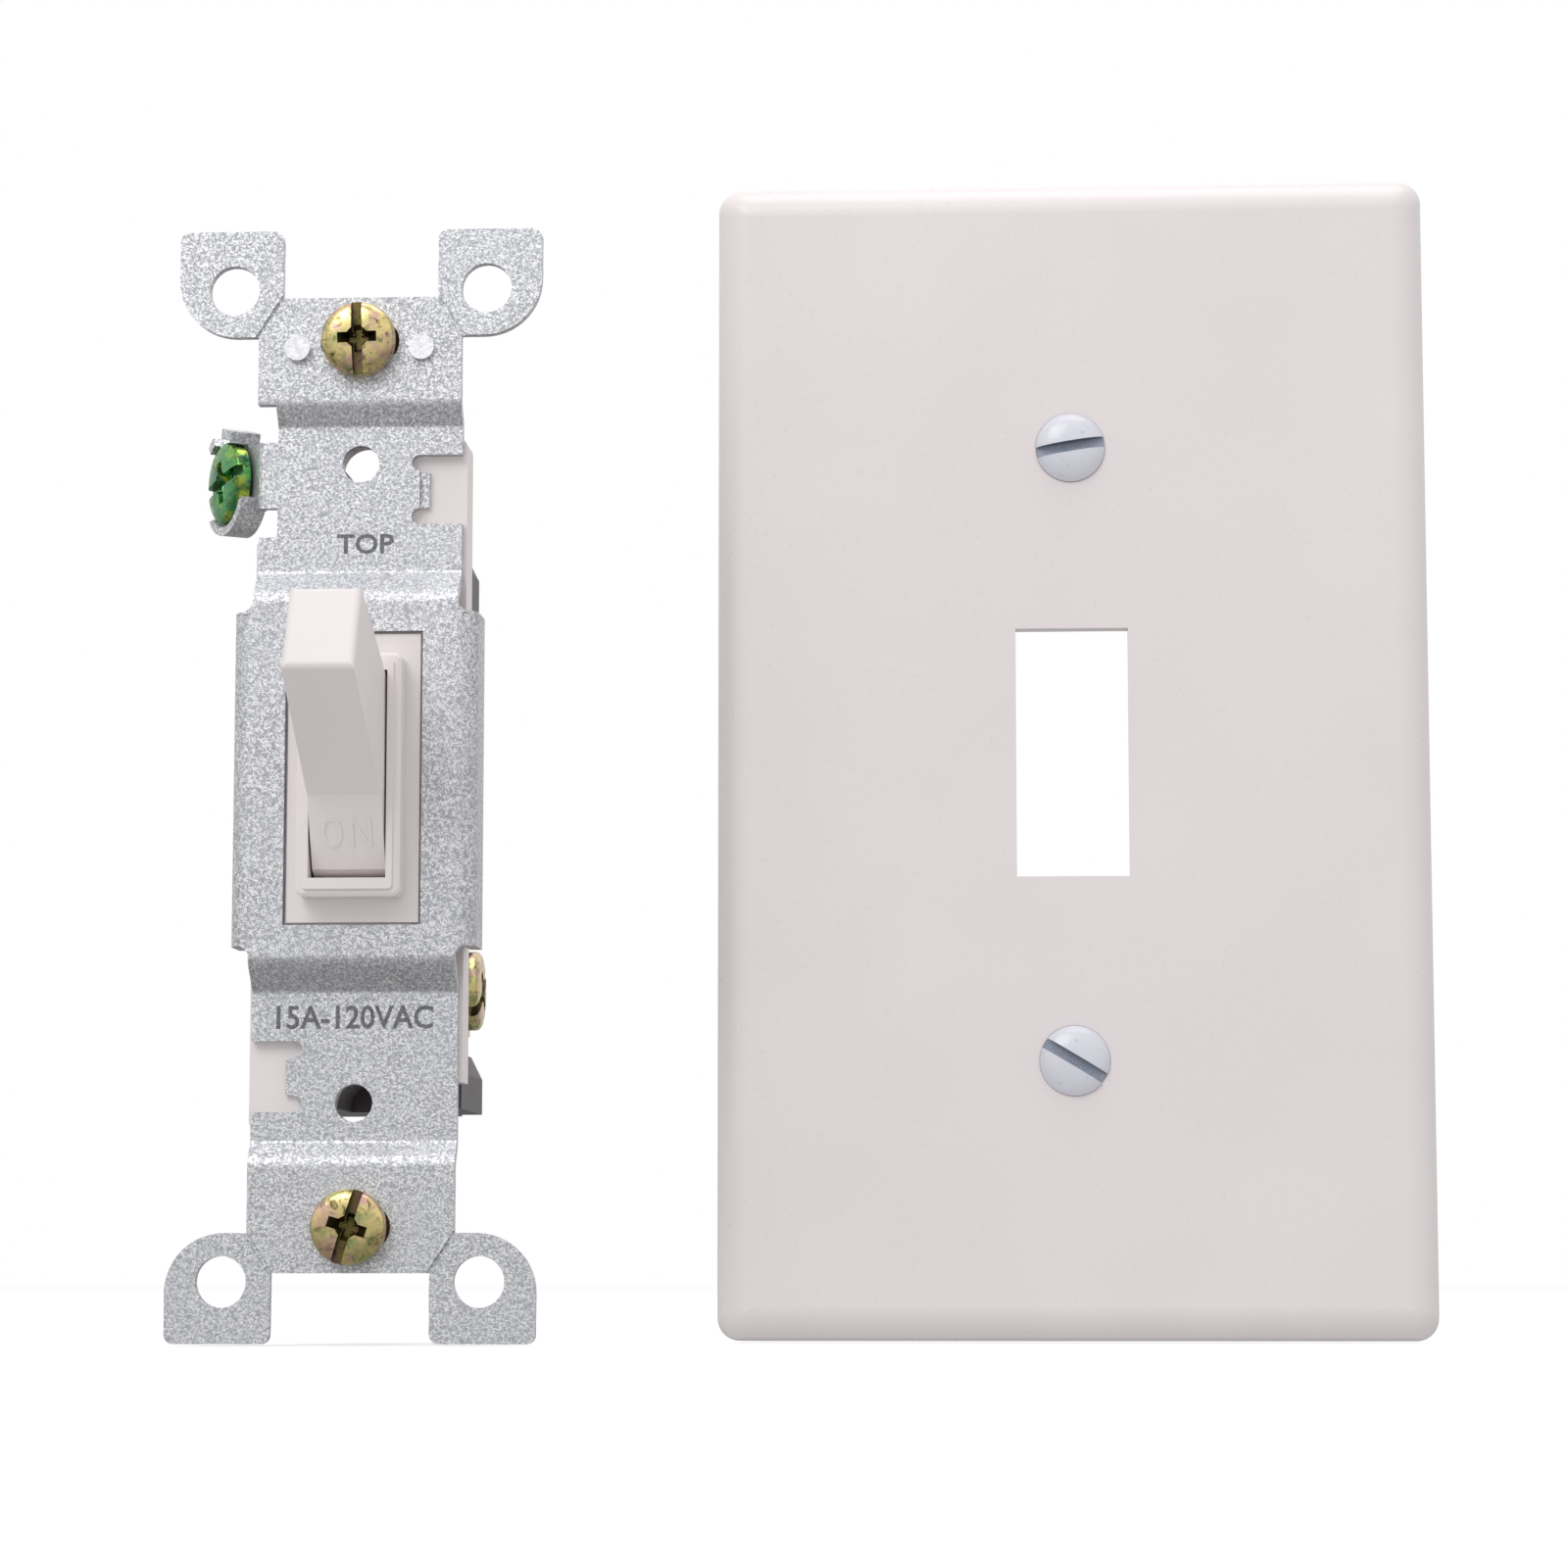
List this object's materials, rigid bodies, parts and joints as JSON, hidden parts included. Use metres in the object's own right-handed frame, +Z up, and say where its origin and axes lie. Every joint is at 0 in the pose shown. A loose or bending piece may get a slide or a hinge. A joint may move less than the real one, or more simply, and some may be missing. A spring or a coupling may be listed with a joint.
{
  "type": "toggle wall switch",
  "caption": "Toggle wall switch on a steel mounting strap with ears, screw terminals and a rocking contact inside, beside its flat rounded wall plate and plate screws.",
  "frame": {"origin": "midpoint between the two wall-box screws, on the back plane of the mounting strap's ears", "axes": "+Z up along the strap, +X to the right seen from the room, the front of the switch faces -Y"},
  "size_m": [0.1193, 0.0561, 0.1143],
  "materials": {
    "galvanised_steel": "fine spangled zinc, satin",
    "white_plastic": "moulded, soft gloss",
    "plate_plastic": "moulded, smooth gloss",
    "grey_plastic": "moulded, dull",
    "brass": "stamped",
    "silver_contact": "dull silver",
    "yellow_zinc": "iridescent yellow passivation",
    "green_zinc": "green dyed zinc",
    "white_painted_steel": "white paint",
    "spring_steel": "drawn wire",
    "nylon": "natural",
    "fibre": "vulcanised fibre"
  },
  "bodies": {
    "device": {"mounting_strap": "galvanised_steel", "cover_frame": "white_plastic", "base": "grey_plastic", "fixed_contact": "silver_contact", "line_terminal": "brass", "load_terminal": "brass", "grounding_clip": "brass", "clip_rivets": "galvanised_steel", "upper_screw_retainer": "fibre", "lower_screw_retainer": "fibre"},
    "toggle": {"toggle": "white_plastic", "toggle_spring": "spring_steel", "plunger": "nylon"},
    "contact_rocker": {"contact_rocker": "brass", "moving_contact": "silver_contact"},
    "line_terminal_screw": {"line_terminal_screw": "yellow_zinc"},
    "load_terminal_screw": {"load_terminal_screw": "yellow_zinc"},
    "ground_screw": {"ground_screw": "green_zinc"},
    "upper_mounting_screw": {"upper_mounting_screw": "yellow_zinc"},
    "lower_mounting_screw": {"lower_mounting_screw": "yellow_zinc"},
    "wall_plate": {"wall_plate": "plate_plastic"},
    "plate_screw_upper": {"plate_screw_upper": "white_painted_steel"},
    "plate_screw_lower": {"plate_screw_lower": "white_painted_steel"}
  },
  "joints": [
    {"name": "toggle_hinge", "type": "hinge", "parent": "device", "child": "toggle", "pos_m": [0, 0.0009, 0], "axis": [1, 0, 0], "range_deg": [0, 54]},
    {"name": "contact_rocker_hinge", "type": "hinge", "parent": "device", "child": "contact_rocker", "pos_m": [0, 0.01333, 0], "axis": [1, 0, 0], "range_deg": [-11.8, 0]},
    {"name": "upper_mounting_screw_slide", "type": "slide", "parent": "device", "child": "upper_mounting_screw", "axis": [0, -1, 0], "range_m": [0, 0.012]},
    {"name": "lower_mounting_screw_slide", "type": "slide", "parent": "device", "child": "lower_mounting_screw", "axis": [0, -1, 0], "range_m": [0, 0.012]},
    {"name": "line_terminal_screw_slide", "type": "slide", "parent": "device", "child": "line_terminal_screw", "axis": [-1, 0, 0], "range_m": [0, 0.002]},
    {"name": "load_terminal_screw_slide", "type": "slide", "parent": "device", "child": "load_terminal_screw", "axis": [1, 0, 0], "range_m": [0, 0.002]},
    {"name": "ground_screw_slide", "type": "slide", "parent": "device", "child": "ground_screw", "axis": [-0.848, -0.5299, 0], "range_m": [0, 0.003]},
    {"name": "wall_plate_slide", "type": "slide", "parent": "device", "child": "wall_plate", "axis": [0, -1, 0], "range_m": [0, 0.06]},
    {"name": "plate_screw_upper_slide", "type": "slide", "parent": "wall_plate", "child": "plate_screw_upper", "axis": [0, -1, 0], "range_m": [0, 0.012]},
    {"name": "plate_screw_lower_slide", "type": "slide", "parent": "wall_plate", "child": "plate_screw_lower", "axis": [0, -1, 0], "range_m": [0, 0.012]}
  ],
  "couplings": [
    {"joint": "contact_rocker_hinge", "follows": "toggle_hinge", "ratio": -0.2185}
  ]
}
